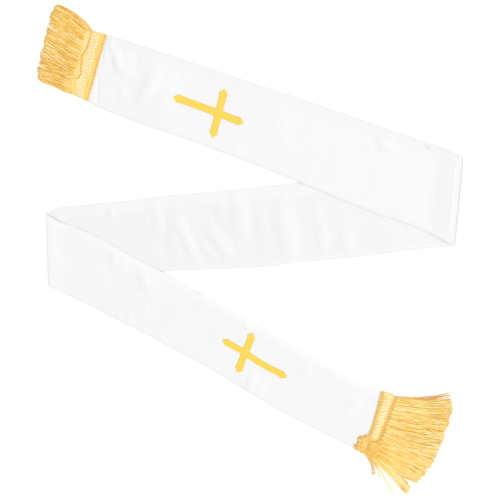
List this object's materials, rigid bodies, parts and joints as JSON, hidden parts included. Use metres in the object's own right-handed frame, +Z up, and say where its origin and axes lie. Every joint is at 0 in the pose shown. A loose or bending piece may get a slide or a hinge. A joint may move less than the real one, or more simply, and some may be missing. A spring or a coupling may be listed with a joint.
{
  "type": "clerical stole",
  "caption": "Long narrow white satin stole, folded twice into a Z and laid flat, with a gold cross and a gold fringe on a woven heading at each end.",
  "frame": {"origin": "centre of the bounding box, on the surface that the stole lies on", "axes": "+X along the middle stretch, towards the fold to the upper stretch; +Y across the middle stretch, towards the end of the upper stretch; +Z up, out of the surface"},
  "size_m": [0.6344, 0.7204, 0.0083],
  "materials": {
    "face_satin": "satin",
    "back_satin": "satin",
    "gold_cross": "satin",
    "gold_fringe": "satin"
  },
  "bodies": {
    "root": {"face_upper": "face_satin", "face_middle": "face_satin", "face_lower": "face_satin", "back_upper": "back_satin", "back_middle": "back_satin", "back_lower": "back_satin", "cross_upper": "gold_cross", "cross_lower": "gold_cross", "fringe_upper": "gold_fringe", "fringe_lower": "gold_fringe"}
  },
  "joints": []
}
